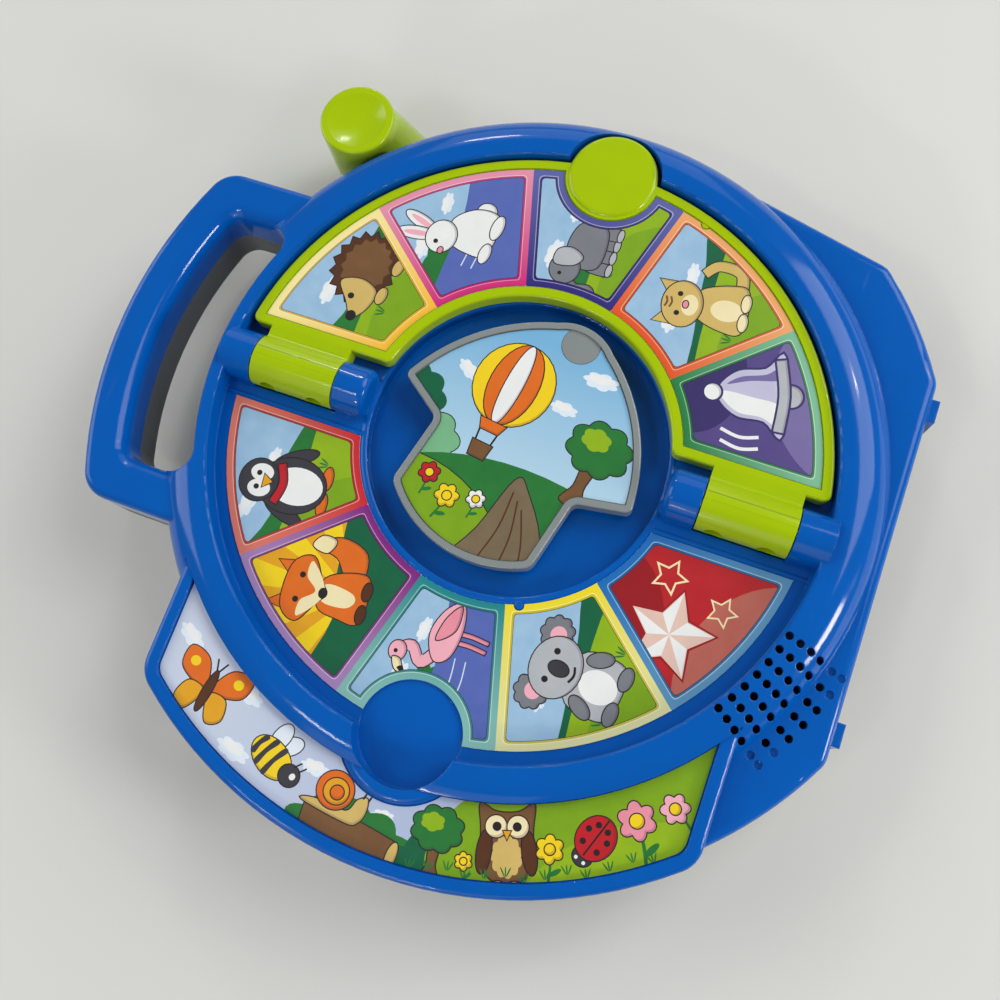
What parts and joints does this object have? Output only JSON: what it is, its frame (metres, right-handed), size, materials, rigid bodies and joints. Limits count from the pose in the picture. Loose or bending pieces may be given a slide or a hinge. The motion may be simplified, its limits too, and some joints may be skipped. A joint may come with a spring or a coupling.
{
  "type": "animal sound spinner toy",
  "caption": "Round hand-held sound toy with a carry handle, a spinning arrow, a picture page that turns on a hinge, a pull lever and a speaker grille.",
  "frame": {"origin": "on the arrow's turning axis at the flat back of the rear cover, on which the toy lies", "axes": "+Z out of the dial, +Y towards the carry handle, +X towards the side where the page and the lever rest"},
  "size_m": [0.293, 0.304, 0.0534],
  "materials": {
    "blue_housing": "smooth moulded, semi-gloss",
    "grey_housing": "smooth moulded, satin",
    "green_plastic": "smooth moulded, semi-gloss",
    "grey_spinner": "smooth moulded, satin",
    "printed_sheet": "printed self-adhesive sheet, satin",
    "gear_plastic": "natural acetal, satin",
    "steel": "zinc plated",
    "spring_metal": "nickel plated strip",
    "cell_jacket": "plain jacket",
    "ferrite": "bare ferrite",
    "cone_film": "pressed film",
    "board_laminate": "solder mask",
    "chip_resin": "black resin"
  },
  "bodies": {
    "housing": {"front_housing": "blue_housing", "rear_cover": "grey_housing", "housing_screws": "steel", "hinge_pins": "steel", "left_dial_label": "printed_sheet", "right_dial_label": "printed_sheet", "side_strip_label": "printed_sheet", "position_board": "board_laminate", "idler_axle": "steel", "gearbox_plate": "gear_plastic", "lever_spring": "spring_metal", "battery_door": "grey_housing", "battery_door_screw": "steel", "battery_contacts": "spring_metal", "aa_cells": "cell_jacket", "speaker_frame": "steel", "speaker_magnet": "ferrite", "speaker_cone": "cone_film", "circuit_board": "board_laminate", "board_parts": "chip_resin", "board_screws": "steel"},
    "page": {"page_front_shell": "green_plastic", "page_back_shell": "green_plastic", "page_front_label": "printed_sheet", "page_back_label": "printed_sheet"},
    "spinner": {"spinner_frame": "grey_spinner", "spinner_label": "printed_sheet", "spinner_shaft": "gear_plastic", "spinner_gear": "gear_plastic", "position_wiper": "spring_metal"},
    "lever": {"lever_arm": "gear_plastic", "lever_knob": "green_plastic", "lever_screw": "steel"},
    "idler": {"idler_gear": "gear_plastic"}
  },
  "joints": [
    {"name": "page_flip", "type": "hinge", "parent": "housing", "child": "page", "pos_m": [0, 0, 0.04395], "axis": [0, -1, 0], "range_deg": [0, 180]},
    {"name": "lever_pull", "type": "hinge", "parent": "housing", "child": "lever", "pos_m": [0, 0, 0], "axis": [0, 0, 1], "range_deg": [-50, 0], "stiffness_Nm_per_rad": 0.15, "springref_deg": 17.19},
    {"name": "idler_turn", "type": "hinge", "parent": "housing", "child": "idler", "pos_m": [-0.05074, 0.01847, 0], "axis": [0, 0, 1], "range_deg": [0, 250]},
    {"name": "spinner_turn", "type": "hinge", "parent": "housing", "child": "spinner", "pos_m": [0, 0, 0], "axis": [0, 0, 1], "range_deg": [-500, 0]}
  ],
  "couplings": [
    {"joint": "idler_turn", "follows": "lever_pull", "ratio": -5},
    {"joint": "spinner_turn", "follows": "lever_pull", "ratio": 10}
  ]
}
